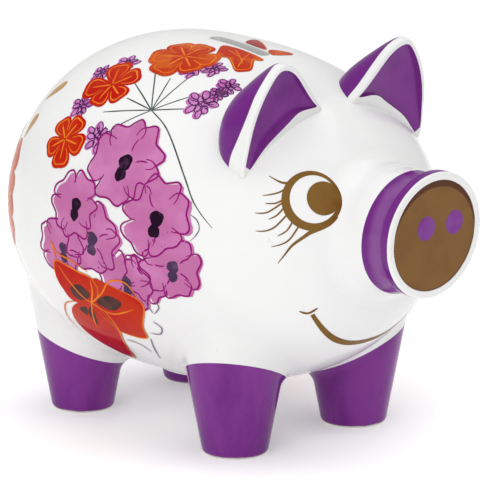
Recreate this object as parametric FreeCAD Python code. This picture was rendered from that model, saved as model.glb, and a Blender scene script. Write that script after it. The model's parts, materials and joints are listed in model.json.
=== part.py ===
import FreeCAD, Part

import math
import os

# Porcelain piggy bank with a coin slot in its back and a twist-lock closure in its belly.
# +X points out of the snout, +Y to the pig's left, +Z up. The origin is on the floor, under the
# middle of the bounding box. All sizes are in millimetres and all angles in degrees.

Vec = FreeCAD.Vector
UP = Vec(0, 0, 1)
SIDES = {"right": -1, "left": 1}

# Body: an egg with an elliptical cross-section, blunter behind than in front.
BODY_CENTRE = Vec(-19.3, 0, 82.25)
BODY_FRONT = 98.0
BODY_REAR = 75.8
BODY_HALF_WIDTH = 69.7
BODY_HALF_HEIGHT = 64.5
FRONT_POWERS = (2.27, 2.17)
REAR_POWERS = (2.56, 2.2)
BODY_STEPS = 16
WALL = 4.0

# Legs: cones that widen upwards, with a rounded sole edge.
LEG_X = {"front": 26.8, "rear": -59.2}
LEG_Y = {"front": 31.1, "rear": 29.3}
LEG_FLOOR_RADIUS = {"front": 12.3, "rear": 11.7}
LEG_TAPER = 0.188
LEG_CONE_HEIGHT = 60.0
LEG_SOLE_ROUND = 2.4
LEG_SOLE_THICKNESS = 6.0
LEG_BLEND = 8.0
LEG_REACH = 23.0
# Seam of each leg: height above the floor at the leg's axis, rise per mm forwards, rise per mm outwards.
LEG_SEAM = {"front": (30.6, 0.246, 0.373), "rear": (25.0, -0.306, 0.245)}

# Snout: a slightly waisted collar that leans up, a rounded rim and a sunk round face.
SNOUT_FACE = Vec(100.45, 0, 91.4)
SNOUT_PITCH = -3.4
SNOUT_LEAN = 0.15
COLLAR_STATIONS = ((-45.0, 23.6), (-30.0, 23.6), (-14.7, 23.5), (-8.5, 22.5), (-3.0, 23.0))
COLLAR_LENGTH = 14.7
RIM_RADIUS = 24.05
RIM_DEPTH = 4.5
RIM_ROUND = 1.1
FACE_RADIUS = 21.1
FACE_SINK = 0.5
FACE_EDGE_ROUND = 0.35
FACE_THICKNESS = 5.4
SNOUT_BLEND = 12.0

# Ears: petals standing on the head, with a sunk front and a domed back. Points are (across, up) in
# the plane of the front face, measured from the inner end of its base.
EAR_ORIGIN = Vec(49.6, 11.8, 133.5)
EAR_ACROSS = Vec(-0.07, 0.85, -0.53)
EAR_NORMAL = Vec(0.983, -0.027, -0.179)
EAR_PETAL = ((-0.5, 0.0), (1.2, 7.5), (2.2, 14.5), (4.4, 22.0), (8.6, 25.9), (13.6, 24.9),
             (20.2, 21.4), (27.6, 15.4), (34.2, 7.6), (38.7, 0.0))
EAR_DISH_BASE = ((30.0, 1.9), (21.0, 3.2), (12.0, 3.6), (5.0, 2.4))
EAR_ROOT = ((36.0, -12.0), (19.0, -15.0), (3.0, -12.0))
EAR_MIDDLE = (16.0, 11.0)
EAR_RIM = 2.0
EAR_RIM_ROUND = 1.1
EAR_RIM_THICKNESS = 3.0
EAR_BACK_MIDDLE = (19.5, -1.0)
EAR_BACK_RADII = (22.8, 24.5)
EAR_BACK_ROUNDING = 1.6
EAR_DOME_DEPTH = 22.0
EAR_DOME_STEPS = 5
EAR_DOME_TURN = 75.0
EAR_DISH_DEPTH = 3.0
EAR_DISH_RADIUS = 90.0
EAR_DISH_DRAFT = 0.02

# Tail: a short curl against the rump.
TAIL_ROOT = Vec(-91.0, 0, 95.0)
TAIL_RADIUS = 2.2
TAIL_COIL_RADIUS = 5.0
TAIL_PITCH = 6.62
TAIL_TURNS = 1.3

# Coin slot, along the back.
SLOT_CENTRE_X = -3.2
SLOT_LENGTH = 30.0
SLOT_WIDTH = 5.0

# Belly opening and its seat.
BELLY_X = -18.0
SEAT_Z = 22.5
SEAT_RADIUS = 21.6
HOLE_RADIUS = 17.0
LEDGE_RADIUS = 26.0
LEDGE_TOP_Z = 26.6

# Closure cup.
FLANGE_RADIUS = 21.0
FLANGE_BOTTOM_Z = 19.6
FLANGE_THICKNESS = 2.0
SKIRT_RADIUS = 16.6
SKIRT_WALL = 2.0
SKIRT_TOP_Z = 29.8
BOSS_Y = 13.0
BOSS_RADIUS = 1.8
SCREW_RADIUS = 0.9

# Sealing ring, between the flange and the seat.
RING_INNER_RADIUS = 17.4
RING_OUTER_RADIUS = 20.6
RING_TOP_Z = 22.45

# Lock barrel, cam disc and retaining clip.
BARREL_RADIUS = 7.0
BARREL_BOTTOM_Z = 19.9
BARREL_CLEARANCE = 0.2
BARREL_COLLAR_RADIUS = 9.0
BARREL_COLLAR_BOTTOM_Z = 21.8
BARREL_COLLAR_TOP_Z = 23.3
BARREL_NECK_RADIUS = 4.6
DRIVE_SQUARE = 5.0
STUB_RADIUS = 2.0
STUB_TOP_Z = 28.8
COIN_GROOVE_LENGTH = 12.0
COIN_GROOVE_WIDTH = 2.2
COIN_GROOVE_DEPTH = 1.5
CAM_RADIUS = 10.8
CAM_BOTTOM_Z = 25.0
CAM_TOP_Z = 27.1
CLIP_RADIUS = 3.2
CLIP_THICKNESS = 0.7

# Locking tongues, thrown outwards by spiral slots in the cam disc.
TONGUE_WIDTH = 10.0
TONGUE_BOTTOM_Z = 27.3
TONGUE_TOP_Z = 29.4
TONGUE_INNER = 3.7
TONGUE_OUTER = 16.2
TONGUE_TRAVEL = 4.0
TONGUE_CLEARANCE = 0.2
PIN_RADIUS = 0.9
PIN_START = 4.9
PIN_BOTTOM_Z = 25.3
PIN_CLEARANCE = 0.15
LOCK_ANGLE = 90.0
SPIRAL_OVERRUN = 3.0
SPIRAL_STEPS = 10

# Cover plate and its screws.
COVER_RADIUS = 16.4
COVER_TOP_Z = 31.3
SCREW_HEAD_RADIUS = 1.7
SCREW_HEAD_HEIGHT = 1.2
SCREW_BOTTOM_Z = 25.5
SCREW_GROOVE_WIDTH = 0.5
SCREW_GROOVE_DEPTH = 0.6

FAR = 200.0


def cylinder(radius, bottom, top, x=BELLY_X, y=0.0):
    return Part.makeCylinder(radius, top - bottom, Vec(x, y, bottom))


def tube(outer, inner, bottom, top):
    return cylinder(outer, bottom, top).cut(cylinder(inner, bottom, top))


def block(length, width, bottom, top, x=BELLY_X, y=0.0):
    """A box centred on (x, y)."""
    return Part.makeBox(length, width, top - bottom, Vec(x - length / 2, y - width / 2, bottom))


def spline(points, closed=False):
    curve = Part.BSplineCurve()
    curve.interpolate(Points=points, PeriodicFlag=closed)
    return curve.toShape()


def mirrored(shape):
    return shape.mirror(Vec(0, 0, 0), Vec(0, 1, 0))


def edges_where(shape, test):
    return [edge for edge in shape.Edges if test(edge)]


# ---------------------------------------------------------------- porcelain

def egg(inset):
    """The body's egg, with every semi-axis shorter by the inset."""
    height = BODY_HALF_HEIGHT - inset
    points = []
    for step in range(-BODY_STEPS, BODY_STEPS + 1):
        turn = math.pi / 2 * (1 - step / BODY_STEPS)
        ahead = step >= 0
        along, around = FRONT_POWERS if ahead else REAR_POWERS
        reach = (BODY_FRONT if ahead else BODY_REAR) - inset
        x = reach * math.copysign(abs(math.cos(turn)) ** (2 / along), math.cos(turn))
        points.append(Vec(x, 0, height * max(math.sin(turn), 0.0) ** (2 / around)))
    curve = Part.BSplineCurve()
    curve.interpolate(Points=points, InitialTangent=UP, FinalTangent=-UP)
    outline = Part.Wire([curve.toShape(), Part.makeLine(points[-1], points[0])])
    solid = Part.Face(outline).revolve(Vec(0, 0, 0), Vec(1, 0, 0), 360)
    widen = FreeCAD.Matrix()
    widen.scale(Vec(1, (BODY_HALF_WIDTH - inset) / height, 1))
    solid = solid.transformGeometry(widen)
    solid.translate(BODY_CENTRE)
    return solid


def leg_cone(end, side, inset, bottom):
    radius = LEG_FLOOR_RADIUS[end] - inset
    place = Vec(LEG_X[end], side * LEG_Y[end], bottom)
    height = LEG_CONE_HEIGHT - bottom
    low = radius + LEG_TAPER * bottom
    return Part.makeCone(low, low + LEG_TAPER * height, height, place)


def leg_outside(end, side):
    cone = leg_cone(end, side, 0.0, 0.0)
    sole = edges_where(cone, lambda edge: edge.BoundBox.ZMax < 0.01)
    return cone.makeFillet(LEG_SOLE_ROUND, sole)


def leg_region(end, side):
    """Everything of a leg below its seam."""
    height, forwards, outwards = LEG_SEAM[end]
    x, y = LEG_X[end], side * LEG_Y[end]
    corners = []
    for dx, dy in ((-1, -1), (1, -1), (1, 1), (-1, 1)):
        rise = (forwards * dx + outwards * side * dy) * FAR
        corners.append(Vec(x + dx * FAR, y + dy * FAR, height + rise))
    above = Part.Face(Part.makePolygon(corners + corners[:1])).extrude(Vec(0, 0, FAR))
    return cylinder(LEG_REACH, -1, LEG_CONE_HEIGHT, x, y).cut(above)


def snout_axis():
    pitch = math.radians(SNOUT_PITCH)
    return Vec(math.cos(pitch), 0, math.sin(pitch))


def snout_point(back):
    """Centre of the snout at a distance behind its face."""
    return SNOUT_FACE + snout_axis() * back + UP * (back * SNOUT_LEAN)


def collar(inset, stations):
    circles = [Part.Wire(Part.makeCircle(radius - inset, snout_point(back), snout_axis()))
               for back, radius in stations]
    return Part.makeLoft(circles, True)


def snout_front():
    """Rim and sunk face, turned about the face's own axis."""
    back, crest = -RIM_DEPTH, FACE_SINK
    points = [(0, back - 1), (FACE_RADIUS, back - 1), (FACE_RADIUS + 0.8, back), (RIM_RADIUS, back),
              (RIM_RADIUS, crest), (FACE_RADIUS, crest), (FACE_RADIUS, 0), (0, 0)]
    profile = Part.makePolygon([Vec(r, 0, h) for r, h in points + points[:1]])
    solid = Part.Face(profile).revolve(Vec(0, 0, 0), UP, 360)
    rims = edges_where(solid, lambda edge: edge.BoundBox.XMax > RIM_RADIUS - 0.01
                       and edge.BoundBox.ZLength < 0.01)
    solid = solid.makeFillet(RIM_ROUND, rims)
    lip = edges_where(solid, lambda edge: edge.BoundBox.ZMin > crest - 0.01
                      and edge.BoundBox.XMax < FACE_RADIUS + 0.01)
    solid = solid.makeFillet(FACE_EDGE_ROUND, lip)
    solid.Placement = FreeCAD.Placement(SNOUT_FACE - snout_axis() * FACE_SINK,
                                        FreeCAD.Rotation(UP, snout_axis()))
    return solid


def snout_region():
    centre = snout_point(-COLLAR_LENGTH)
    return Part.makeCylinder(2 * RIM_RADIUS, FAR, centre, snout_axis())


def snout_hollow():
    stations = [(back, radius) for back, radius in COLLAR_STATIONS if back < -COLLAR_LENGTH + 1]
    stations.append((-FACE_THICKNESS - FACE_SINK - 1, COLLAR_STATIONS[-1][1]))
    return collar(WALL, stations)


def ear_point(across, up, forward):
    upward = EAR_NORMAL.cross(EAR_ACROSS)
    upward.normalize()
    return EAR_ORIGIN + EAR_ACROSS * across + upward * up + EAR_NORMAL * forward


def grown(points, rim):
    """Points moved outwards from the petal's middle by the rim's width."""
    middle = Vec(*EAR_MIDDLE, 0)
    moved = []
    for across, up in points:
        away = Vec(across, up, 0) - middle
        away.normalize()
        moved.append((across + away.x * rim, up + away.y * rim))
    return moved


def scaled(points, middle, scale):
    """Points moved away from a middle point, or towards it."""
    across, up = middle
    return [(across + (a - across) * scale, up + (u - up) * scale) for a, u in points]


def ear_slice(points, forward):
    """A closed outline parallel to the ear's front."""
    return Part.Wire(spline([ear_point(across, up, forward) for across, up in points], closed=True))


def rounded_back(points, share):
    """Points moved a share of the way onto the ellipse that the ear's back rounds into."""
    moved = []
    for across, up in points:
        away = Vec(across - EAR_BACK_MIDDLE[0], up - EAR_BACK_MIDDLE[1], 0)
        away.normalize()
        reach = 1 / math.hypot(away.x / EAR_BACK_RADII[0], away.y / EAR_BACK_RADII[1])
        moved.append((across + share * (EAR_BACK_MIDDLE[0] + away.x * reach - across),
                      up + share * (EAR_BACK_MIDDLE[1] + away.y * reach - up)))
    return moved


def ear_blank():
    """The ear before its front is sunk: an even rim, then a dome that rounds off into the head."""
    outline = grown(EAR_PETAL, EAR_RIM) + list(EAR_ROOT)
    front = [ear_slice(outline, -depth) for depth in (0.0, EAR_RIM_THICKNESS)]
    dome = []
    for step in range(EAR_DOME_STEPS + 1):
        turn = math.radians(EAR_DOME_TURN) * step / EAR_DOME_STEPS
        depth = EAR_RIM_THICKNESS + (EAR_DOME_DEPTH - EAR_RIM_THICKNESS) * math.sin(turn)
        rounder = rounded_back(outline, min(1.0, EAR_BACK_ROUNDING * math.sin(turn)))
        dome.append(ear_slice(scaled(rounder, EAR_BACK_MIDDLE, math.cos(turn)), -depth))
    return Part.makeLoft(front, True, True).fuse(Part.makeLoft(dome, True))


def ear_dish():
    """The sunk front: the petal, closed by a line that follows the head, with a hollowed floor."""
    outline = list(EAR_PETAL) + list(EAR_DISH_BASE)
    deep = 2 * EAR_DISH_DEPTH
    walls = Part.makeLoft([ear_slice(scaled(outline, EAR_MIDDLE, 1 + EAR_DISH_DRAFT * forward), forward)
                           for forward in (1.0, -deep)], True, True)
    across, up = EAR_MIDDLE
    centre = ear_point(across, up, EAR_DISH_RADIUS - EAR_DISH_DEPTH)
    return walls.common(Part.makeSphere(EAR_DISH_RADIUS, centre))


def tail():
    helix = Part.makeHelix(TAIL_PITCH, TAIL_PITCH * TAIL_TURNS, TAIL_COIL_RADIUS)
    section = Part.Wire(Part.makeCircle(TAIL_RADIUS, Vec(TAIL_COIL_RADIUS, 0, 0), Vec(0, 1, 0)))
    curl = Part.Wire(helix.Edges).makePipeShell([section], True, True)
    end_turn = 2 * math.pi * TAIL_TURNS
    tip = Part.makeSphere(TAIL_RADIUS, Vec(TAIL_COIL_RADIUS * math.cos(end_turn),
                                           TAIL_COIL_RADIUS * math.sin(end_turn),
                                           TAIL_PITCH * TAIL_TURNS))
    curl = curl.fuse(tip)
    curl.Placement = FreeCAD.Placement(TAIL_ROOT, FreeCAD.Rotation(UP, Vec(-1, 0, 0)))
    return curl


def coin_slot():
    ends = SLOT_LENGTH / 2 - SLOT_WIDTH / 2
    low, high = BODY_CENTRE.z + BODY_HALF_HEIGHT / 2, BODY_CENTRE.z + BODY_HALF_HEIGHT + 5
    slot = block(2 * ends, SLOT_WIDTH, low, high, SLOT_CENTRE_X)
    for sign in (-1, 1):
        slot = slot.fuse(cylinder(SLOT_WIDTH / 2, low, high, SLOT_CENTRE_X + sign * ends))
    return slot.removeSplitter()


def porcelain():
    """All the porcelain pieces: body shell, legs, snout, ears and tail."""
    legs = [(end, name, side) for end in LEG_X for name, side in SIDES.items()]
    raw = egg(0.0)
    skin = raw.fuse([leg_outside(end, side) for end, _, side in legs] + [collar(0.0, COLLAR_STATIONS)])
    skin = skin.removeSplitter()
    joins = edges_where(skin, lambda edge: 15 < edge.BoundBox.ZMin and edge.BoundBox.ZMax < 62
                        and edge.BoundBox.YLength > 8 and edge.BoundBox.XMax < 70)
    skin = skin.makeFillet(LEG_BLEND, joins)
    neck = edges_where(skin, lambda edge: 60 < edge.BoundBox.XMin and edge.BoundBox.XMax < 80
                       and edge.BoundBox.YLength > 40)
    skin = skin.makeFillet(SNOUT_BLEND, neck)
    skin = skin.fuse(snout_front())

    blank = ear_blank()
    front_edges = edges_where(blank, lambda edge: all(
        abs((v.Point - EAR_ORIGIN).dot(EAR_NORMAL)) < 0.01 for v in edge.Vertexes)
        and edge.Length > 50)
    ear = blank.makeFillet(EAR_RIM_ROUND, front_edges).cut(ear_dish())
    ears = {"left": ear, "right": mirrored(ear)}

    hollow = egg(WALL).fuse([leg_cone(end, side, WALL, LEG_SOLE_THICKNESS) for end, _, side in legs]
                            + [snout_hollow()])
    hollow = hollow.cut(cylinder(LEDGE_RADIUS, 0, LEDGE_TOP_Z))
    shell = skin.cut(hollow)
    shell = shell.cut(cylinder(HOLE_RADIUS, 0, LEDGE_TOP_Z + 1))
    shell = shell.cut(cylinder(SEAT_RADIUS, 0, SEAT_Z))
    shell = shell.cut(coin_slot())

    pieces = {}
    for end, name, side in legs:
        region = leg_region(end, side)
        pieces["leg_%s_%s" % (end, name)] = shell.common(region)
        shell = shell.cut(region)
    region = snout_region()
    pieces["snout"] = shell.common(region)
    pieces["body_shell"] = shell.cut(region)
    for name, solid in ears.items():
        pieces["ear_" + name] = solid.cut(raw)
    pieces["tail"] = tail().cut(raw)
    return pieces


# ---------------------------------------------------------------- belly closure

def closure_cup():
    floor_top = FLANGE_BOTTOM_Z + FLANGE_THICKNESS
    cup = cylinder(FLANGE_RADIUS, FLANGE_BOTTOM_Z, floor_top)
    rim = edges_where(cup, lambda edge: edge.BoundBox.ZMax < FLANGE_BOTTOM_Z + 0.01)
    cup = cup.makeFillet(0.8, rim)
    cup = cup.fuse(tube(SKIRT_RADIUS, SKIRT_RADIUS - SKIRT_WALL, floor_top, SKIRT_TOP_Z))
    for sign in (-1, 1):
        boss = cylinder(BOSS_RADIUS, floor_top, SKIRT_TOP_Z, BELLY_X, sign * BOSS_Y)
        cup = cup.fuse(boss)
        cup = cup.cut(cylinder(SCREW_RADIUS, SCREW_BOTTOM_Z, SKIRT_TOP_Z + 1, BELLY_X, sign * BOSS_Y))
    windows = block(3 * SKIRT_RADIUS, TONGUE_WIDTH + 2 * TONGUE_CLEARANCE,
                    TONGUE_BOTTOM_Z - TONGUE_CLEARANCE, SKIRT_TOP_Z + 1)
    bore = cylinder(BARREL_RADIUS + BARREL_CLEARANCE, FLANGE_BOTTOM_Z - 1, floor_top + 1)
    return cup.cut(windows).cut(bore)


def sealing_ring():
    return tube(RING_OUTER_RADIUS, RING_INNER_RADIUS, FLANGE_BOTTOM_Z + FLANGE_THICKNESS, RING_TOP_Z)


def lock_barrel():
    barrel = cylinder(BARREL_RADIUS, BARREL_BOTTOM_Z, BARREL_COLLAR_BOTTOM_Z)
    barrel = barrel.fuse(cylinder(BARREL_COLLAR_RADIUS, BARREL_COLLAR_BOTTOM_Z, BARREL_COLLAR_TOP_Z))
    barrel = barrel.fuse(cylinder(BARREL_NECK_RADIUS, BARREL_COLLAR_TOP_Z, CAM_BOTTOM_Z))
    barrel = barrel.fuse(block(DRIVE_SQUARE, DRIVE_SQUARE, CAM_BOTTOM_Z, CAM_TOP_Z))
    barrel = barrel.fuse(cylinder(STUB_RADIUS, CAM_TOP_Z, STUB_TOP_Z))
    groove = block(COIN_GROOVE_LENGTH, COIN_GROOVE_WIDTH, BARREL_BOTTOM_Z - 1,
                   BARREL_BOTTOM_Z + COIN_GROOVE_DEPTH)
    return barrel.cut(groove)


def spiral_slot():
    """Slot along an Archimedean spiral, as wide as the pin and its clearance."""
    growth = TONGUE_TRAVEL / math.radians(LOCK_ANGLE)
    half = PIN_RADIUS + PIN_CLEARANCE
    first = -math.radians(SPIRAL_OVERRUN)
    last = math.radians(LOCK_ANGLE + SPIRAL_OVERRUN)
    lines = {-half: [], half: []}
    for step in range(SPIRAL_STEPS + 1):
        turn = first + (last - first) * step / SPIRAL_STEPS
        radius = PIN_START + growth * turn
        tangent = Vec(growth * math.cos(turn) - radius * math.sin(turn),
                      -growth * math.sin(turn) - radius * math.cos(turn), 0)
        tangent.normalize()
        centre = Vec(radius * math.cos(turn), -radius * math.sin(turn), 0)
        for shift, points in lines.items():
            points.append(centre + Vec(-tangent.y, tangent.x, 0) * shift)
        if step == 0:
            start = centre - tangent * half
        end = centre + tangent * half
    left, right = lines[half], lines[-half]
    outline = Part.Wire([spline(left), Part.Arc(left[-1], end, right[-1]).toShape(),
                         spline(right[::-1]), Part.Arc(right[0], start, left[0]).toShape()])
    slot = Part.Face(outline).extrude(Vec(0, 0, CAM_TOP_Z - CAM_BOTTOM_Z + 2))
    slot.translate(Vec(BELLY_X, 0, CAM_BOTTOM_Z - 1))
    return slot


def cam_disc():
    disc = cylinder(CAM_RADIUS, CAM_BOTTOM_Z, CAM_TOP_Z)
    disc = disc.cut(block(DRIVE_SQUARE, DRIVE_SQUARE, CAM_BOTTOM_Z - 1, CAM_TOP_Z + 1))
    for half_turn in (0, 180):
        slot = spiral_slot()
        slot.rotate(Vec(BELLY_X, 0, 0), UP, half_turn)
        disc = disc.cut(slot)
    return disc


def retaining_clip():
    return tube(CLIP_RADIUS, STUB_RADIUS, CAM_TOP_Z, CAM_TOP_Z + CLIP_THICKNESS)


def locking_tongue(direction):
    length = TONGUE_OUTER - TONGUE_INNER
    middle = BELLY_X + direction * (TONGUE_INNER + TONGUE_OUTER) / 2
    tongue = block(length, TONGUE_WIDTH, TONGUE_BOTTOM_Z, TONGUE_TOP_Z, middle)
    tongue = tongue.common(cylinder(TONGUE_OUTER, TONGUE_BOTTOM_Z, TONGUE_TOP_Z))
    pin = cylinder(PIN_RADIUS, PIN_BOTTOM_Z, TONGUE_BOTTOM_Z, BELLY_X + direction * PIN_START)
    return tongue.fuse(pin)


def cover_plate():
    plate = cylinder(COVER_RADIUS, SKIRT_TOP_Z, COVER_TOP_Z)
    for sign in (-1, 1):
        plate = plate.cut(cylinder(SCREW_RADIUS, SKIRT_TOP_Z - 1, COVER_TOP_Z + 1, BELLY_X,
                                   sign * BOSS_Y))
    return plate


def cover_screws():
    screws = []
    for sign in (-1, 1):
        shank = cylinder(SCREW_RADIUS, SCREW_BOTTOM_Z, COVER_TOP_Z, BELLY_X, sign * BOSS_Y)
        top = COVER_TOP_Z + SCREW_HEAD_HEIGHT
        head = cylinder(SCREW_HEAD_RADIUS, COVER_TOP_Z, top, BELLY_X, sign * BOSS_Y)
        groove = block(3 * SCREW_HEAD_RADIUS, SCREW_GROOVE_WIDTH, top - SCREW_GROOVE_DEPTH, top + 1,
                       BELLY_X, sign * BOSS_Y)
        screws.append(shank.fuse(head).cut(groove))
    return Part.makeCompound(screws)


def closure():
    return {
        "closure_cup": closure_cup(),
        "sealing_ring": sealing_ring(),
        "lock_barrel": lock_barrel(),
        "cam_disc": cam_disc(),
        "retaining_clip": retaining_clip(),
        "locking_tongue_front": locking_tongue(1),
        "locking_tongue_rear": locking_tongue(-1),
        "cover_plate": cover_plate(),
        "cover_screws": cover_screws(),
    }


def main():
    os.makedirs("parts", exist_ok=True)
    for name, shape in {**porcelain(), **closure()}.items():
        if len(shape.Solids) == 1:
            shape = shape.Solids[0]
        box = shape.BoundBox
        print("%-20s solids %d valid %s volume %9.1f x %7.2f %7.2f y %7.2f %7.2f z %7.2f %7.2f" % (
            name, len(shape.Solids), shape.isValid(), shape.Volume, box.XMin, box.XMax, box.YMin,
            box.YMax, box.ZMin, box.ZMax))
        shape.exportStep("parts/%s.step" % name)


main()
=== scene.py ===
import json
import math
import random

import bpy
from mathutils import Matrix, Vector
from mathutils.bvhtree import BVHTree


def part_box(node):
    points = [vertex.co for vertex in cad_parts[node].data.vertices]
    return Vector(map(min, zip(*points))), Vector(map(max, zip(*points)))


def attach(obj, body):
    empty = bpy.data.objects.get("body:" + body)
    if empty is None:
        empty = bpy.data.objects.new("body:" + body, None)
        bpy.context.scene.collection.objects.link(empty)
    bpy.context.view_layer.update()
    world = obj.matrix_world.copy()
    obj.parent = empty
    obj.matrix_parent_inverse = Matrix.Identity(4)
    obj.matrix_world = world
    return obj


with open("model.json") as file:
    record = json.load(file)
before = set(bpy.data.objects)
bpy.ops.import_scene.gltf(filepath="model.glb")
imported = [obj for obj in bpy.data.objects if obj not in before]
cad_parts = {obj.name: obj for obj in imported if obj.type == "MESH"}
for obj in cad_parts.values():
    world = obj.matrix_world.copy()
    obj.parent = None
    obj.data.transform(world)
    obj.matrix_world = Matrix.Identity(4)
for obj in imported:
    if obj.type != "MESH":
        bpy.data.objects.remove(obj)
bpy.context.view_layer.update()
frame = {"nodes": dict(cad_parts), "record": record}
nodes = frame["nodes"]

# Lengths are in millimetres where a name or comment doesn't say otherwise, and MM turns them into metres.
MM = 0.001
UP = Vector((0, 0, 1))

# Camera, at the photograph's angle, with its distance in metres.
CAMERA_AZIMUTH = math.radians(46.22)
CAMERA_ELEVATION = math.radians(14.43)
CAMERA_DISTANCE = 2.7274
CAMERA_TARGET = Vector((-3.0, 0, 70.6)) * MM
CAMERA_LENS = 541.8
CAMERA_SENSOR = 36.0
CAMERA_CLIP_END = 50.0

# The egg-shaped body: its widest section, and half its width and height.
EGG_MIDDLE = Vector((-19.3, 0, 82.25)) * MM
EGG_HALF_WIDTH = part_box("body_shell")[1].y
EGG_HALF_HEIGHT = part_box("body_shell")[1].z - EGG_MIDDLE.z

# The snout's face: its centre, the way it points, and where the paint changes.
FACE_CENTRE = Vector((100.45, 0, 91.4)) * MM
FACE_PITCH = math.radians(-3.4)
FACE_AXIS = Vector((math.cos(FACE_PITCH), 0, math.sin(FACE_PITCH)))
FACE_PAINT_RADIUS = 21.1 * MM
FACE_SINK = 0.5 * MM
# How far below the face's centre lies the circle that bounds the painted shade along the face's top.
CRESCENT_DEPTH = 2.6 * MM
RIM_PAINT_DEPTH = 0.9 * MM

# The ears' front planes. The left one is given, and the right one is its mirror image.
EAR_ORIGIN = Vector((49.6, 11.8, 133.5)) * MM
EAR_ACROSS = Vector((-0.07, 0.85, -0.53))
EAR_NORMAL = Vector((0.983, -0.027, -0.179)).normalized()
EAR_MIDDLE = Vector((16.0, 11.0))
EAR_WHITE_DEPTH = 2.9 * MM
# How much further the ears' white rim reaches at their low outer corner, and the heights between which it
# narrows.
EAR_WHITE_EXTRA = 4.7 * MM
EAR_WHITE_HEIGHTS = (108.0 * MM, 138.0 * MM)

# Which faces of an ear are its sunk front. On its floor they face forward, below the rim. On the dished wall
# round the floor they lean inwards, don't face back, and are near the front.
EAR_FLOOR_FACING = 0.99
EAR_FLOOR_DEPTH = 0.3
EAR_WALL_LEAN = 0.004
EAR_WALL_FACING = -0.05
EAR_WALL_DEPTH = 4.0

SIDES = {"left": 1, "right": -1}

SOLE_BARE_HEIGHT = 0.9 * MM
GLAZE_SHINE = 0.17
PRINT_SHINE = 0.05

# Colours, as linear red, green and blue.
WHITE = (0.755, 0.755, 0.75)
PURPLE = (0.188, 0.030, 0.235)
PURPLE_DEEP = (0.105, 0.006, 0.150)
PURPLE_LIGHT = (0.195, 0.058, 0.265)
# A pale band of painted reflection on the snout's collar.
COLLAR_SHEEN = (0.24, 0.095, 0.28)
BISCUIT = (0.66, 0.63, 0.58)
GOLD = (0.185, 0.083, 0.016)
# Gold in painted shade, for the top of the snout's face and the ring round its edge.
GOLD_SHADED = (0.075, 0.018, 0.003)
GOLD_PRINT = (0.185, 0.096, 0.024)
PINK = (0.45, 0.134, 0.313)
PINK_PALE = (0.52, 0.185, 0.395)
MAGENTA = (0.24, 0.008, 0.145)
RED = (0.43, 0.004, 0.001)
RED_DARK = (0.27, 0.003, 0.003)
ORANGE = (0.64, 0.125, 0.008)
VERMILION = (0.44, 0.026, 0.003)
LILAC = (0.40, 0.11, 0.34)
LILAC_PALE = (0.54, 0.20, 0.46)
INK = (0.014, 0.003, 0.014)
INK_PALE = (0.055, 0.028, 0.070)
STEM = (0.035, 0.050, 0.045)
SALMON = (0.47, 0.090, 0.052)
TAN = (0.46, 0.26, 0.11)

# Places on the body are a distance ahead of its widest section and an angle in degrees up from its middle
# height. The left eye is lower than the right one, because the camera doesn't see it past the snout.
EYE_PLACES = {"right": (85.5, 38), "left": (85, 16)}
EYE_TURN = 3.0
EYE_RADIUS = 11.2

# The smile, seen from the front: where it is lowest, where it ends on either side, and how it curls up.
SMILE_LOWEST = (2.5, 44.0)
SMILE_ENDS = (-29.5, 31.0)
SMILE_RISE = 0.00283
SMILE_CURL = 2.5
SMILE_STEPS = 56

NOSTRIL_SPACING = 14.6
NOSTRIL_MIDDLE = Vector((3.0, 3.4))
NOSTRIL_RADIUS = 4.4
NOSTRIL_TALL = 1.05

# The left flank's bunch of flowers is the right one moved back (mm), squeezed and moved down (degrees).
LEFT_BUNCH_BACK = 12.0
LEFT_BUNCH_SQUEEZE = 0.85
LEFT_BUNCH_DROP = 12.0
SLOT_FLOWER_PLACE = (24.0, 80.0)
STEM_HUB = (18.0, 47.0)

# How far off register the blossoms' outlines are.
OUTLINE_SHIFT = (-1.1, 0.3)

# A petal: its width at the root and what it gains towards the tip, as shares, the breadth of the notch in its
# end, as an angle, and how many waves its edge has.
PETAL_POINTS = 26
PETAL_ROOT = 0.30
PETAL_FLARE = 0.95
NOTCH_BREADTH = 0.34
RUFFLES = 6

# A lilac: its florets, and the angle in radians from each to the next.
LILAC_FLORETS = 11
LILAC_TURN = 2.4

# Where each kind of flower's random numbers start.
BLOSSOM_SEED = 10
LILAC_SEED = 40
STAR_SEED = 70
REAR_SEED = 90

# The heights between which the big flower's lowest petal goes from its deepest red to its brightest.
RED_FADE = (22.0 * MM, 46.0 * MM)

# How proud each kind of print is, so that prints that overlap don't flicker, the step from each to the next,
# and how far a flower's lines and finest details are above its fills.
STEM_LIFT = 0.05
NOSTRIL_LIFT = 0.05
FACE_LIFT = 0.06
LEAF_LIFT = 0.06
LILAC_LIFT = 0.07
BLOSSOM_LIFT = 0.08
STAR_LIFT = 0.13
RED_FLOWER_LIFT = 0.26
LIFT_STEP = 0.02
LINE_LIFT = 0.04
DETAIL_LIFT = 0.045

# How far off the surface a ray starts when a print is laid on it, and when a place on the body is looked up.
NEAR_THE_SKIN = 20.0 * MM
CLEAR_OF_THE_BODY = 120.0 * MM

# The share of a stroke's length that each tapered end takes.
TAPER_SHARE = 0.25

# The studio: half the floor's width in metres, and what the floor and the surround add to the lamps.
FLOOR_HALF = 6.0
FLOOR_GLOW = 0.20
SURROUND_STRENGTH = 0.62
LAMP_TARGET = (0.0, 0.0, 0.07)


# ---------------------------------------------------------------------------------- materials

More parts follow.
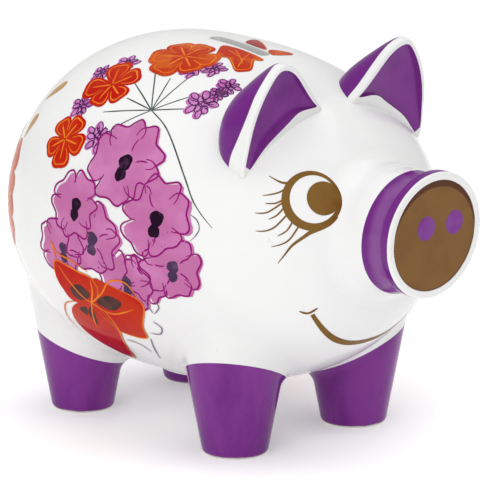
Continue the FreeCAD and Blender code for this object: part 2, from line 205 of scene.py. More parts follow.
class Paint:
    """One material and short calls for building its node tree."""

    def __init__(self, name):
        self.material = bpy.data.materials.new(name)
        self.material.use_nodes = True
        self.tree = self.material.node_tree
        self.shader = self.tree.nodes["Principled BSDF"]
        self.place = self.add("ShaderNodeTexCoord").outputs["Object"]

    def add(self, kind, **settings):
        node = self.tree.nodes.new(kind)
        for key, value in settings.items():
            setattr(node, key, value)
        return node

    def feed(self, socket, value):
        if isinstance(value, bpy.types.NodeSocket):
            self.tree.links.new(value, socket)
        elif isinstance(value, tuple) and len(value) == 3 and len(socket.default_value) == 4:
            socket.default_value = (*value, 1.0)
        else:
            socket.default_value = value

    def math(self, operation, a, b):
        node = self.add("ShaderNodeMath", operation=operation)
        for socket, value in zip(node.inputs, (a, b)):
            self.feed(socket, value)
        return node.outputs[0]

    def vector(self, operation, a, b):
        node = self.add("ShaderNodeVectorMath", operation=operation)
        self.feed(node.inputs[0], a)
        self.feed(node.inputs[1], b)
        return node.outputs["Value" if operation in ("DOT_PRODUCT", "LENGTH") else "Vector"]

    def noise(self, scale, detail=3.0, rough=0.5, stretch=None):
        node = self.add("ShaderNodeTexNoise")
        where = self.vector("MULTIPLY", self.place, stretch) if stretch else self.place
        self.feed(node.inputs["Vector"], where)
        node.inputs["Scale"].default_value = scale
        node.inputs["Detail"].default_value = detail
        node.inputs["Roughness"].default_value = rough
        return node.outputs["Fac"]

    def ramp(self, value, low, high, start=0.0, end=1.0):
        """value carried smoothly from start, at low or less, to end, at high or more."""
        node = self.add("ShaderNodeMapRange", interpolation_type="SMOOTHSTEP")
        for socket, number in zip(node.inputs, (value, low, high, start, end)):
            self.feed(socket, number)
        return node.outputs[0]

    def mix(self, amount, a, b):
        node = self.add("ShaderNodeMix", data_type="RGBA")
        for index, value in ((0, amount), (6, a), (7, b)):
            self.feed(node.inputs[index], value)
        return node.outputs[2]

    def along(self, origin, axis):
        """Signed distance in front of a plane."""
        return self.vector("DOT_PRODUCT", self.vector("SUBTRACT", self.place, tuple(origin)), tuple(axis))

    def from_axis(self, origin, axis):
        """Distance from a line."""
        away = self.vector("SUBTRACT", self.place, tuple(origin))
        return self.vector("LENGTH", self.vector("CROSS_PRODUCT", away, tuple(axis)), (0, 0, 0))

    def bump(self, *layers):
        """Layers of (height socket, depth in metres), each on top of the last."""
        last = None
        for height, depth in layers:
            node = self.add("ShaderNodeBump")
            node.inputs["Distance"].default_value = depth
            self.feed(node.inputs["Height"], height)
            if last:
                self.feed(node.inputs["Normal"], last)
            last = node.outputs[0]
        self.feed(self.shader.inputs["Normal"], last)

    def set(self, **values):
        for key, value in values.items():
            self.feed(self.shader.inputs[key.replace("_", " ")], value)
        return self.material


def mottled(paint, colour, other, scale, low=0.42, high=0.62):
    """One colour that drifts into another in soft patches."""
    return paint.mix(paint.ramp(paint.noise(scale, 4.0), low, high), colour, other)


def glaze(paint, colour, gloss=0.07, bare=None, shine=GLAZE_SHINE):
    """Glassy glaze over colour: slow waves, a fine peel, rare pinholes. bare is where it is unglazed."""
    roughness = paint.ramp(paint.noise(45.0, 4.0), 0.35, 0.75, gloss, gloss + 0.07)
    if bare:
        roughness = paint.math("ADD", roughness, paint.math("MULTIPLY", bare, 0.6))
    pinholes = paint.ramp(paint.noise(520.0, 1.0), 0.74, 0.80, 1.0, 0.0)
    waves = paint.noise(24.0, 2.0)
    peel = paint.noise(160.0, 3.0)
    paint.bump((waves, 0.0006), (peel, 0.00005), (pinholes, 0.00003))
    return paint.set(Base_Color=colour, Roughness=roughness, Specular_IOR_Level=shine)


def white_porcelain(paint):
    """White body colour with a slow drift in tone and a few pale kiln specks."""
    drift = mottled(paint, WHITE, tuple(0.965 * value for value in WHITE), 18.0)
    specks = paint.ramp(paint.noise(330.0, 1.0), 0.77, 0.82, 0.0, 0.35)
    return paint.mix(specks, drift, (0.55, 0.48, 0.40))


def purple_enamel(paint, least=0.0):
    """Purple laid on with a brush: thicker streaks are deeper, and least is how deep the thinnest is."""
    streaks = paint.noise(70.0, 5.0, 0.6, stretch=(1.0, 1.0, 0.35))
    return paint.mix(paint.ramp(streaks, 0.35, 0.75, least, 0.8), PURPLE, PURPLE_DEEP)


def body_glaze():
    """White all over, with painted grey shade in blotches along the lips of the coin slot."""
    paint = Paint("white_glaze")
    slot_low, slot_high = frame_opening("coin_slot")
    middle = (slot_low + slot_high) / 2
    half = (slot_high - slot_low) / 2
    away = paint.vector("ABSOLUTE", paint.vector("SUBTRACT", paint.place, tuple(middle)), (0, 0, 0))
    past = paint.vector("SUBTRACT", away, (half.x, half.y, 1.0))
    split = paint.add("ShaderNodeSeparateXYZ")
    paint.feed(split.inputs[0], past)
    reach = paint.math("MAXIMUM", split.outputs[0], split.outputs[1])
    # Painted shade: grey that fades out within about three millimetres past the slot's opening, broken up by
    # noise.
    slot_lip_shade = paint.math("MULTIPLY", paint.ramp(reach, 0.0002, 0.0032, 1.0, 0.0), paint.noise(420.0, 4.0))
    colour = paint.mix(paint.math("MULTIPLY", slot_lip_shade, 0.35), white_porcelain(paint), (0.42, 0.40, 0.38))
    return glaze(paint, colour)


def frame_opening(name):
    """Corners of one of the record's openings, in metres."""
    openings = frame["record"]["physics"]["openings"]
    low, high = [opening["box_m"] for opening in openings if opening["name"] == name][0]
    return Vector(low), Vector(high)


def leg_glaze():
    """Purple down to a bare biscuit foot ring, a little soiled where it stands."""
    paint = Paint("leg_glaze")
    height = paint.along((0, 0, 0), UP)
    wobble = paint.math("MULTIPLY", paint.noise(240.0, 2.0), 0.0006)
    bare = paint.ramp(paint.math("SUBTRACT", height, wobble),
                      SOLE_BARE_HEIGHT - 0.0006, SOLE_BARE_HEIGHT, 1.0, 0.0)
    soiled = mottled(paint, BISCUIT, (0.50, 0.46, 0.41), 260.0, 0.5, 0.75)
    return glaze(paint, paint.mix(bare, purple_enamel(paint), soiled), 0.09, bare)


def snout_glaze():
    """Purple collar with painted sheen and shade in bands, white rim, and gold-brown face with painted shade
    in a crescent along its top and round its edge.
    """
    paint = Paint("snout_glaze")
    depth = paint.along(FACE_CENTRE, FACE_AXIS)
    radius = paint.from_axis(FACE_CENTRE, FACE_AXIS)
    wobble = paint.math("MULTIPLY", paint.math("SUBTRACT", paint.noise(150.0, 2.0), 0.5), 0.0003)
    rim = paint.ramp(paint.math("ADD", depth, wobble),
                     -RIM_PAINT_DEPTH - 0.00012, -RIM_PAINT_DEPTH + 0.00012)
    inside = paint.ramp(paint.math("ADD", radius, wobble),
                        FACE_PAINT_RADIUS - 0.0001, FACE_PAINT_RADIUS + 0.0001, 1.0, 0.0)
    sunk = paint.ramp(depth, -0.8 * FACE_SINK, -0.5 * FACE_SINK, 1.0, 0.0)
    ahead = paint.ramp(depth, -0.0030, -0.0026)
    face = paint.math("MULTIPLY", paint.math("MULTIPLY", inside, sunk), ahead)
    gold = mottled(paint, GOLD, tuple(0.86 * value for value in GOLD), 60.0)
    # Painted shade on the gold face: a crescent along its top under the rim, and a darker ring round its
    # edge.
    lower = paint.from_axis(FACE_CENTRE - UP * CRESCENT_DEPTH, FACE_AXIS)
    crescent = paint.ramp(paint.math("ADD", lower, wobble),
                          FACE_PAINT_RADIUS - 0.0004, FACE_PAINT_RADIUS + 0.0004)
    edge = paint.ramp(radius, FACE_PAINT_RADIUS - 0.0008, FACE_PAINT_RADIUS - 0.0001, 0.0, 0.6)
    gold = paint.mix(paint.math("MAXIMUM", edge, crescent), gold, GOLD_SHADED)
    # Painted reflection and shade on the collar: a pale band of sheen in its middle, darker towards the rim
    # and the cheek, then mixed about half and half with the purple's brush streaks.
    nearby = paint.math("ADD", depth, paint.math("MULTIPLY", paint.noise(55.0, 3.0), 0.006))
    by_rim = paint.ramp(nearby, -0.0042, -0.0012)
    by_cheek = paint.ramp(nearby, -0.0105, -0.0065, 1.0, 0.0)
    streaked = paint.mix(paint.math("MAXIMUM", by_rim, by_cheek), COLLAR_SHEEN, PURPLE_DEEP)
    purple = paint.mix(0.55, purple_enamel(paint), streaked)
    colour = paint.mix(rim, purple, white_porcelain(paint))
    return glaze(paint, paint.mix(face, colour, gold), 0.10)


def ear_outer_glaze(side):
    """White round the rim, wider at the ear's low outer corner, and purple over the back."""
    paint = Paint(f"ear_back_glaze_{side}")
    origin, _, _, normal = ear_axes(side)
    wobble = paint.math("MULTIPLY", paint.math("SUBTRACT", paint.noise(150.0, 2.0), 0.5), 0.0004)
    wider = paint.ramp(paint.along((0, 0, 0), UP), *EAR_WHITE_HEIGHTS, EAR_WHITE_EXTRA, 0.0)
    depth = paint.math("ADD", paint.math("ADD", paint.along(origin, normal), wobble), wider)
    rim = paint.ramp(depth, -EAR_WHITE_DEPTH - 0.00015, -EAR_WHITE_DEPTH + 0.00015)
    return glaze(paint, paint.mix(rim, purple_enamel(paint, 0.6), white_porcelain(paint)))


def ear_inner_glaze():
    """Purple in the sunk front of an ear, deeper where the glaze has pooled."""
    paint = Paint("ear_front_glaze")
    return glaze(paint, mottled(paint, PURPLE, PURPLE_DEEP, 55.0, 0.45, 0.85), 0.12)


def print_paint(name, colour, other, scale=120.0, low=0.40, high=0.66):
    """Transfer-print colour under the glaze, a little uneven."""
    paint = Paint(name)
    return glaze(paint, mottled(paint, colour, other, scale, low, high), shine=PRINT_SHINE)


def plastic(name, plain, grain=900.0, gloss=0.38):
    """Moulded plastic: fine grain, faint flow marks, scuffs that are lighter and rougher."""
    paint = Paint(name)
    scuffs = paint.ramp(paint.noise(160.0, 6.0, 0.7, stretch=(1.0, 0.12, 1.0)), 0.60, 0.72)
    worn = tuple(0.6 * value + 0.3 for value in plain)
    tone = mottled(paint, plain, tuple(0.9 * value for value in plain), 40.0)
    roughness = paint.math("ADD", gloss, paint.math("MULTIPLY", scuffs, 0.25))
    paint.bump((paint.noise(grain, 2.0), 0.00003), (scuffs, 0.00001))
    colour = paint.mix(paint.math("MULTIPLY", scuffs, 0.4), tone, worn)
    return paint.set(Base_Color=colour, Roughness=roughness)


def rubber():
    """Black seal rubber with a dusty bloom."""
    paint = Paint("seal_rubber")
    bloom = paint.ramp(paint.noise(210.0, 5.0), 0.45, 0.75, 0.0, 0.5)
    paint.bump((paint.noise(1400.0, 2.0), 0.00003))
    return paint.set(Base_Color=paint.mix(bloom, (0.022, 0.022, 0.024), (0.10, 0.10, 0.098)), Roughness=0.75)


def steel():
    """Plated steel, brushed, with duller spots."""
    paint = Paint("plated_steel")
    streaked = paint.noise(700.0, 4.0, 0.6, stretch=(0.05, 1.0, 1.0))
    dull = paint.ramp(paint.noise(300.0, 3.0), 0.5, 0.7)
    paint.bump((streaked, 0.00001))
    return paint.set(Base_Color=paint.mix(dull, (0.60, 0.60, 0.61), (0.40, 0.39, 0.38)), Metallic=1.0,
                     Roughness=paint.math("ADD", 0.24, paint.math("MULTIPLY", dull, 0.2)))


# ---------------------------------------------------------------------------------- CAD nodes

def ear_axes(side):
    """Origin of an ear's front plane, and its directions across, up and forward."""
    flip = Vector((1, SIDES[side], 1))
    up = EAR_NORMAL.cross(EAR_ACROSS).normalized()
    return EAR_ORIGIN * flip, EAR_ACROSS * flip, up * flip, EAR_NORMAL * flip


def cover(node, *materials):
    """Gives a CAD node these materials."""
    data = nodes[node].data
    data.materials.clear()
    for material in materials:
        data.materials.append(material)


def paint_ear(side, inner):
    """The outer glaze for an ear, and the inner one for its sunk front."""
    node = f"ear_{side}"
    cover(node, ear_outer_glaze(side), inner)
    origin, across, up, normal = ear_axes(side)
    for face in nodes[node].data.polygons:
        place = face.center - origin
        depth = place.dot(normal) / MM
        outwards = Vector((place.dot(across), place.dot(up))) / MM - EAR_MIDDLE
        lean = outwards.normalized().dot(Vector((face.normal.dot(across), face.normal.dot(up))))
        forward = face.normal.dot(normal)
        floor = forward > EAR_FLOOR_FACING and depth < -EAR_FLOOR_DEPTH
        wall = lean < -EAR_WALL_LEAN and forward > EAR_WALL_FACING and depth > -EAR_WALL_DEPTH
        face.material_index = 1 if floor or wall else 0


def dress_frame():
    """Materials for every CAD node."""
    cover("body_shell", body_glaze())
    cover("snout", snout_glaze())
    legs = leg_glaze()
    for end in ("front", "rear"):
        for side in SIDES:
            cover(f"leg_{end}_{side}", legs)
    tail = Paint("tail_glaze")
    cover("tail", glaze(tail, purple_enamel(tail)))
    inner = ear_inner_glaze()
    for side in SIDES:
        paint_ear(side, inner)
    cover("closure_cup", plastic("closure_plastic", (0.80, 0.80, 0.78)))
    cover("cover_plate", plastic("cover_plastic", (0.72, 0.72, 0.70)))
    cover("lock_barrel", plastic("barrel_plastic", (0.78, 0.78, 0.76), 700.0, 0.32))
    cover("cam_disc", plastic("cam_plastic", (0.17, 0.18, 0.19), 800.0, 0.45))
    tongues = plastic("tongue_plastic", (0.20, 0.21, 0.22), 800.0, 0.42)
    for end in ("front", "rear"):
        cover(f"locking_tongue_{end}", tongues)
    cover("sealing_ring", rubber())
    metal = steel()
    cover("retaining_clip", metal)
    cover("cover_screws", metal)


# ---------------------------------------------------------------------------------- printed decoration

def red_low_paint():
    """Red that deepens towards the belly."""
    paint = Paint("red_low_print")
    low = paint.ramp(paint.along((0, 0, 0), UP), *RED_FADE, 1.0, 0.0)
    fill = paint.mix(low, mottled(paint, RED, (0.46, 0.024, 0.006), 60.0), RED_DARK)
    return glaze(paint, fill, shine=PRINT_SHINE)


class Skin:
    """The outside of one CAD node, as a surface to print on."""

    def __init__(self, node):
        data = nodes[node].data
        self.normals = [vertex.normal.copy() for vertex in data.vertices]
        self.corners = [vertex.co.copy() for vertex in data.vertices]
        self.faces = [tuple(face.vertices) for face in data.polygons]
        self.tree = BVHTree.FromPolygons(self.corners, self.faces)

    def drop(self, point, direction):
        """The point and the smooth normal where a ray meets the surface, or the flat normal at a crease."""
        hit, flat, index, _ = self.tree.ray_cast(point, direction)
        if hit is None:
            hit, flat, index, _ = self.tree.find_nearest(point)
        corners = self.faces[index]
        weights = [1.0 / (1e-6 + (self.corners[i] - hit).length) for i in corners]
        rounded = sum((self.normals[i] * weight for i, weight in zip(corners, weights)), Vector())
        rounded.normalize()
        return hit, rounded if rounded.dot(flat) > 0.95 else flat


class Spot:
    """A place on a skin with its own flat drawing axes, in millimetres: u forwards, v upwards."""

    def __init__(self, skin, point, direction, side, turn=0.0, upright=False):
        self.skin = skin
        self.origin, self.normal = skin.drop(point, direction)
        mirror = -SIDES[side]
        if upright:
            above = (UP - self.normal * self.normal.z).normalized()
            ahead = above.cross(self.normal) * mirror
        else:
            ahead = (Vector((1, 0, 0)) - self.normal * self.normal.x).normalized()
            above = self.normal.cross(ahead) * mirror
        angle = math.radians(turn)
        self.u = (ahead * math.cos(angle) + above * math.sin(angle)) * MM
        self.v = (above * math.cos(angle) - ahead * math.sin(angle)) * MM

    def lay(self, u, v):
        """The point and the normal on the skin under a place in the drawing."""
        above = self.origin + self.u * u + self.v * v + self.normal * NEAR_THE_SKIN
        return self.skin.drop(above, -self.normal)


def on_egg(skin, ahead, around, side, turn=0.0, upright=False):
    """Spot at a place on the body, in mm ahead of its widest section and degrees up from its middle."""
    axis_point = EGG_MIDDLE + Vector((ahead * MM, 0, 0))
    angle = math.radians(around)
    outwards = Vector((0, SIDES[side] * EGG_HALF_WIDTH * math.cos(angle), EGG_HALF_HEIGHT * math.sin(angle)))
    outwards.normalize()
    return Spot(skin, axis_point + outwards * CLEAR_OF_THE_BODY, -outwards, side, turn, upright)


def centre_of(outline):
    """The mean of an outline's points."""
    return sum((Vector(point) for point in outline), Vector((0, 0))) / len(outline)


def smooth(points, steps=6, closed=False):
    """A Catmull-Rom curve through 2-D or 3-D points."""
    points = [Vector(point) for point in points]
    count = len(points)
    curve = []
    for i in range(count if closed else count - 1):
        if closed:
            a, b, c, d = (points[(i + k) % count] for k in (-1, 0, 1, 2))
        else:
            a, b, c, d = (points[min(max(i + k, 0), count - 1)] for k in (-1, 0, 1, 2))
        for step in range(steps):
            t = step / steps
            curve.append(0.5 * (2 * b + (c - a) * t + (2 * a - 5 * b + 4 * c - d) * t * t
                                + (3 * b - a - 3 * c + d) * t * t * t))
    if not closed:
        curve.append(points[-1])
    return curve


class Print:
    """One thin printed piece, made of filled patches and brush strokes."""

    RINGS = (0.3, 0.55, 0.78, 1.0)

    def __init__(self, name):
        self.name = name
        self.points, self.normals, self.faces, self.slots, self.paints = [], [], [], [], []

    def slot(self, paint):
        if paint not in self.paints:
            self.paints.append(paint)
        return self.paints.index(paint)

    def add(self, place, lift):
        hit, normal = place
        self.points.append(hit + normal * lift * MM)
        self.normals.append(normal)
        return len(self.points) - 1

    def face(self, corners, paint):
        a, b, c = (self.points[i] for i in corners[:3])
        if (b - a).cross(c - a).dot(self.normals[corners[0]]) < 0:
            corners = corners[::-1]
        self.faces.append(corners)
        self.slots.append(self.slot(paint))

    def patch(self, spot, outline, paint, lift):
        """A filled closed outline, in rings about its middle so that it follows the surface."""
        heart = centre_of(outline)
        rings = []
        for size in self.RINGS:
            rings.append([self.add(spot.lay(*(heart + (Vector(p) - heart) * size)), lift) for p in outline])
        middle = self.add(spot.lay(*heart), lift)
        count = len(outline)
        for i in range(count):
            j = (i + 1) % count
            self.face([middle, rings[0][i], rings[0][j]], paint)
            for inner, outer in zip(rings, rings[1:]):
                self.face([inner[i], outer[i], outer[j], inner[j]], paint)

    def band(self, spot, outer, inner, paint, lift):
        """The closed band between two outlines of equally many points."""
        count = len(outer)
        rings = []
        for share in (0.0, 0.5, 1.0):
            ring = [Vector(a).lerp(Vector(b), share) for a, b in zip(outer, inner)]
            rings.append([self.add(spot.lay(*point), lift) for point in ring])
        for first, second in zip(rings, rings[1:]):
            for i in range(count):
                j = (i + 1) % count
                self.face([first[i], second[i], second[j], first[j]], paint)

    def stroke(self, places, widths, paint, lift, taper=(0.2, 0.2)):
        """A brush line through places on the surface, from one width to the other, thinner at its ends."""
        count = len(places)
        sides = []
        for i, (hit, normal) in enumerate(places):
            ahead = places[min(i + 1, count - 1)][0] - places[max(i - 1, 0)][0]
            across = normal.cross(ahead)
            if across.length < 1e-9:
                continue
            across.normalize()
            t = i / (count - 1)
            thin = taper[0] + (1 - taper[0]) * min(1.0, t / TAPER_SHARE)
            thin *= taper[1] + (1 - taper[1]) * min(1.0, (1 - t) / TAPER_SHARE)
            half = across * (widths[0] + (widths[1] - widths[0]) * t) * thin * MM / 2
            sides.append((self.add((hit - half, normal), lift), self.add((hit + half, normal), lift)))
        for (a, b), (c, d) in zip(sides, sides[1:]):
            self.face([a, b, d, c], paint)

    def line(self, spot, points, widths, paint, lift, taper=(0.2, 0.2), closed=False):
        """A stroke through points of a spot's drawing, of one width or from one to another."""
        curve = smooth(points, 6, closed)
        if closed:
            curve.append(curve[0])
        if not isinstance(widths, tuple):
            widths = (widths, widths)
        self.stroke([spot.lay(*point) for point in curve], widths, paint, lift, taper)

    def finish(self):
        data = bpy.data.meshes.new(self.name)
        data.from_pydata(self.points, [], self.faces)
        data.polygons.foreach_set("material_index", self.slots)
        data.polygons.foreach_set("use_smooth", [True] * len(self.faces))
        for paint in self.paints:
            data.materials.append(paint)
        data.normals_split_custom_set_from_vertices(self.normals)
        piece = bpy.data.objects.new(self.name, data)
        bpy.context.scene.collection.objects.link(piece)
        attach(piece, "porcelain")
        return piece


def petal(length, width, notch):
    """A petal's closed outline from the flower's middle along +u, with a notch in its end."""
    outline = []
    for step in range(PETAL_POINTS):
        t = 2 * math.pi * step / PETAL_POINTS
        reach = (1 - math.cos(t)) / 2
        dent = notch * math.exp(-((t - math.pi) / NOTCH_BREADTH) ** 2)
        outline.append((length * (reach - dent), width * math.sin(t) * (PETAL_ROOT + PETAL_FLARE * reach)))
    return outline


def ruffled(outline, depth, phase):
    """An outline whose edge waves in and out about its middle."""
    middle = centre_of(outline)
    count = len(outline)
    waves = [1 + depth * math.sin(RUFFLES * 2 * math.pi * k / count + phase) for k in range(count)]
    return [tuple(middle + (Vector(point) - middle) * wave) for point, wave in zip(outline, waves)]


def turned(points, angle, shift=(0.0, 0.0)):
    """Points turned about the origin by an angle in radians, then shifted."""
    c, s = math.cos(angle), math.sin(angle)
    return [(u * c - v * s + shift[0], u * s + v * c + shift[1]) for u, v in points]


def blob(radius, tall, wobble, chance, steps=18):
    """A round blot with an uneven edge."""
    phases = [chance.uniform(0, 2 * math.pi) for _ in range(2)]
    outline = []
    for step in range(steps):
        t = 2 * math.pi * step / steps
        r = radius * (1 + wobble * (math.sin(3 * t + phases[0]) + 0.6 * math.sin(5 * t + phases[1])))
        outline.append((r * math.cos(t), r * math.sin(t) * tall))
    return outline


def pink_blossom(name, spot, radius, turn, seed, layer, paints, heart):
    """An open blossom of two-lobed petals, with outlines a little off register. heart is a paint or None."""
    chance = random.Random(seed)
    piece = Print(name)
    count = 5
    for k in range(count):
        angle = math.radians(turn) + 2 * math.pi * k / count + chance.uniform(-0.10, 0.10)
        length = radius * chance.uniform(0.90, 1.10)
        width = length * chance.uniform(0.50, 0.60)
        notch = chance.uniform(0.12, 0.22)
        shape = petal(length, width, notch)
        shape = ruffled(shape, chance.uniform(0.04, 0.07), chance.uniform(0, 2 * math.pi))
        piece.patch(spot, turned(shape, angle), paints["pink"], layer + 0.004 * k)
        shift = (OUTLINE_SHIFT[0] + chance.uniform(-0.5, 0.5),
                 OUTLINE_SHIFT[1] + chance.uniform(-0.4, 0.4))
        drawn = turned(shape[6:21], angle, shift)
        piece.line(spot, drawn, 0.75, paints["magenta"], layer + LINE_LIFT, (0.5, 0.5))
        crease = angle + math.pi / count
        fold = [(radius * f * math.cos(crease + b), radius * f * math.sin(crease + b))
                for f, b in ((0.26, 0.0), (0.42, 0.10), (0.60, 0.04))]
        if chance.random() < 0.5:
            piece.line(spot, fold, 0.65, paints["magenta"], layer + LINE_LIFT, (0.1, 0.5))
    if heart:
        piece.patch(spot, blob(radius * 0.19, 1.0, 0.07, chance), paints[heart], layer + DETAIL_LIFT)
        second = turned(blob(radius * 0.16, 1.05, 0.08, chance), 0.0, (-0.03 * radius, -0.29 * radius))
        piece.patch(spot, second, paints[heart], layer + 0.05)
    return piece.finish()


def star_flower(name, spot, radius, turn, seed, layer, paints, squash=1.0, count=5, fill="vermilion"):
    """A brush-drawn flower of rounded petals, one colour with lighter edges and veins."""
    chance = random.Random(seed)
    piece = Print(name)
    for k in range(count):
        angle = math.radians(turn) + 2 * math.pi * k / count + chance.uniform(-0.12, 0.12)
        length = radius * chance.uniform(0.88, 1.14)
        shape = [(u, v * squash) for u, v in turned(petal(length, length * 0.46, 0.05), angle)]
        piece.patch(spot, shape, paints[fill], layer + 0.004 * k)
        middle = (0.50 * length * math.cos(angle), 0.50 * length * math.sin(angle) * squash)
        inner = [(middle[0] + 0.72 * (u - middle[0]), middle[1] + 0.72 * (v - middle[1]))
                 for u, v in shape[4:23]]
        piece.line(spot, inner, 0.6, paints["orange"], layer + LINE_LIFT, (0.3, 0.3))
        vein = [(f * length * math.cos(angle), f * length * math.sin(angle) * squash)
                for f in (0.05, 0.35, 0.68)]
        piece.line(spot, vein, 0.7, paints["orange"], layer + DETAIL_LIFT, (0.6, 0.1))
    return piece.finish()


def lilac_cluster(name, spot, radius, seed, layer, paints):
    """A tight head of small florets that fan out from one hub, pale blots with dark outlines."""
    chance = random.Random(seed)
    piece = Print(name)
    for k in range(LILAC_FLORETS):
        angle = k * LILAC_TURN
        reach = radius * 0.80 * math.sqrt((k + 0.3) / LILAC_FLORETS)
        size = radius * chance.uniform(0.28, 0.36)
        centre = (reach * math.cos(angle), reach * math.sin(angle))
        tilt = angle + chance.uniform(-0.4, 0.4)
        off = (centre[0] - 0.4, centre[1] - 0.3)
        blot = turned(blob(size * 1.15, 0.8, 0.03, chance, 12), tilt, off)
        piece.patch(spot, blot, paints["lilac"], layer + 0.003 * k)
        shape = turned(blob(size, 0.58, 0.04, chance, 12), tilt, centre)
        piece.line(spot, shape, 0.5, paints["plum"], layer + LINE_LIFT, (0.7, 0.7), True)
    for k in range(4):
        angle = chance.uniform(0, 2 * math.pi)
        root = (0.15 * radius * math.cos(angle), 0.15 * radius * math.sin(angle))
        tip = (0.75 * radius * math.cos(angle + 0.2), 0.75 * radius * math.sin(angle + 0.2))
        piece.line(spot, (root, tip), 0.45, paints["plum"], layer + DETAIL_LIFT, (0.8, 0.3))
    return piece.finish()


def big_red_flower(name, spot, layer, paints):
    """The largest flower: three broad petals, orange edges and veins, dark blotches and stray grey lines."""
    piece = Print(name)
    fills = (
        ("red", ((0, -2), (-11, -4), (-15, 1.5), (-16.5, 7), (-15, 13), (-8.5, 12.5), (-2, 11), (4.5, 9.5),
                 (6, 4))),
        ("red", ((0, -2), (4.5, 9.5), (12.5, 8.5), (24, 5), (27.5, 0.5), (22.5, -9.5), (20.5, -16), (9, -15),
                 (6, -12))),
        ("red_low", ((0, -2), (-12, -6), (-17.5, -14), (-16, -25), (-10, -32), (-2, -36), (5, -21.5),
                     (7, -12))),
    )
    for k, (paint, outline) in enumerate(fills):
        edge = smooth(outline, 3, True)
        piece.patch(spot, edge, paints[paint], layer + 0.006 * k)
        piece.line(spot, edge[6:], 0.7, paints["orange"], layer + 0.05, (0.3, 0.3))
    blotches = (
        ((-9.5, 3), (-4, 5.5), (0.5, 3), (0, 0.5), (-5.5, -2), (-9.5, -1)),
        ((3, -1), (10.5, 3.5), (17, 1.5), (14, -2), (9, -3.5)),
        ((-9.5, -7), (-4.5, -5), (-6.5, -10)),
        ((-1, -3.5), (-1.5, -8.5), (-3, -13.5), (-4.5, -13), (-5, -8)),
    )
    for outline in blotches:
        piece.patch(spot, smooth(outline, 3, True), paints["umber"], layer + LINE_LIFT)
    veins = (
        ((0, -2), (-4, 0), (-8.5, 5), (-13.5, 11.5)), ((0, -2), (3, 4), (3.5, 9)),
        ((0, -2), (8, 4), (12.5, 9), (17.5, 11), (22.5, 10), (26, 5)),
        ((0, -2), (7, -5), (13, -4.5), (22, -1)), ((0, -2), (-3, -8.5), (-5.5, -16)),
        ((6, -5), (8, -11), (7, -18)), ((-14, 14), (-16, 20), (-13, 16.5), (-5.5, 15), (3, 12)),
    )
    for points in veins:
        piece.line(spot, points, 0.75, paints["orange"], layer + 0.06, (0.8, 0.3))
    loop = ((-11, -4), (-17, -6.5), (-21, -11.5), (-23, -17.5), (-22, -23), (-18, -25))
    piece.line(spot, loop, 0.6, paints["orange"], layer + 0.05, (0.6, 0.3))
    strays = (
        ((29, 3), (31, -2)), ((34, 3.5), (34.5, 1), (31.5, -2)),
        ((29, -6), (31.5, -9), (29, -12.5), (24.5, -12.5)),
        ((22.5, -16), (20.5, -21), (17, -30)), ((8, -19.5), (14, -21), (16.5, -25.5)),
    )
    for points in strays:
        piece.line(spot, points, 0.55, paints["grey_line"], layer + 0.02, (0.6, 0.4))
    return piece.finish()


def slot_flower(name, near, far, layer, paints):
    """The flower that the coin slot cuts through: its near part, and two petals' tips past the slot."""
    piece = Print(name)
    parts = (
        (near, "vermilion", ((-11, 6.5), (-4.5, 8), (3.5, 8), (9.5, 7.5), (10, 5.5), (8, 4.5), (13, -2),
                             (12, -5), (9, -7), (2.5, -3), (-1, -1.5), (-5, -3), (-8.5, 1.5))),
        (far, "deep_red", ((-9.5, 7.5), (-12, 1), (-9.5, 0), (-1.5, 4.5), (2, 7.5), (-1, 8.5), (-6, 8.5))),
        (far, "vermilion", ((3.5, 8), (3, 4.5), (6.5, 0), (8.5, -0.5), (9.5, 2.5), (8, 9.5))),
    )
    for spot, fill, outline in parts:
        edge = smooth(outline, 3, True)
        piece.patch(spot, edge, paints[fill], layer)
        middle = centre_of(edge)
        inner = [tuple(middle + (point - middle) * 0.86) for point in edge]
        piece.line(spot, inner[4:-4], 0.5, paints["orange"], layer + LINE_LIFT, (0.3, 0.3))
    veins = ((-4, 6), (3.5, 1.5), (7.5, -1.5)), ((2.5, 7), (5.5, 0), (8, -4.5)), ((-5.5, 4), (2.5, 2))
    for points in veins:
        piece.line(near, points, 0.6, paints["orange"], layer + DETAIL_LIFT, (0.6, 0.2))
    return piece.finish()


def rear_leaves(name, skin, side, layer, paints):
    """Two tan leaves and a fine stalk on the rear quarter."""
    piece = Print(name)
    for ahead, around, turn, length in ((-44.5, 44.5, 40.0, 12.0), (-46.5, 28.0, 65.0, 11.0)):
        spot = on_egg(skin, ahead, around, side)
        piece.patch(spot, turned(petal(length, length * 0.24, 0.0), math.radians(turn)), paints["tan"], layer)
    stalk = ((-47.0, -12.0), (-45.0, -18.5), (-43.0, -24.5), (-39.5, -28.5), (-35.5, -31.5))
    egg_line(piece, skin, side, stalk, 0.45, paints["tan"], layer, (0.7, 0.3))
    return piece.finish()


def stems(name, skin, side, layer, paints):
    """Fine stems that fan out from one hub to the flowers, a long one that hangs down, and a stray loop."""
    piece = Print(name)
    ahead, around = STEM_HUB
    ends = ((0.5, 55.5), (3, 49), (-3.5, 42), (4.5, 36), (1.5, 65.5), (14, 61), (21, 67.5), (36.5, 64),
            (31.5, 51.5))
    for end in ends:
        middle = ((ahead + end[0]) / 2 + 0.03 * (end[1] - around), (around + end[1]) / 2)
        bunch_line(piece, skin, side, (STEM_HUB, middle, end), 0.55, paints["stem"], layer, (0.8, 0.6))
    hanging = (STEM_HUB, (28, 43), (37, 36.5), (46, 27.5), (52.5, 19.5), (60.5, 12))
    bunch_line(piece, skin, side, hanging, 0.6, paints["stem"], layer, (0.7, 0.3))
    loop = ((51.5, 15.5), (54.5, 14), (56, 11), (55, 8), (53, 5.5))
    bunch_line(piece, skin, side, loop, 0.5, paints["grey_line"], layer, (0.6, 0.4))
    return piece.finish()


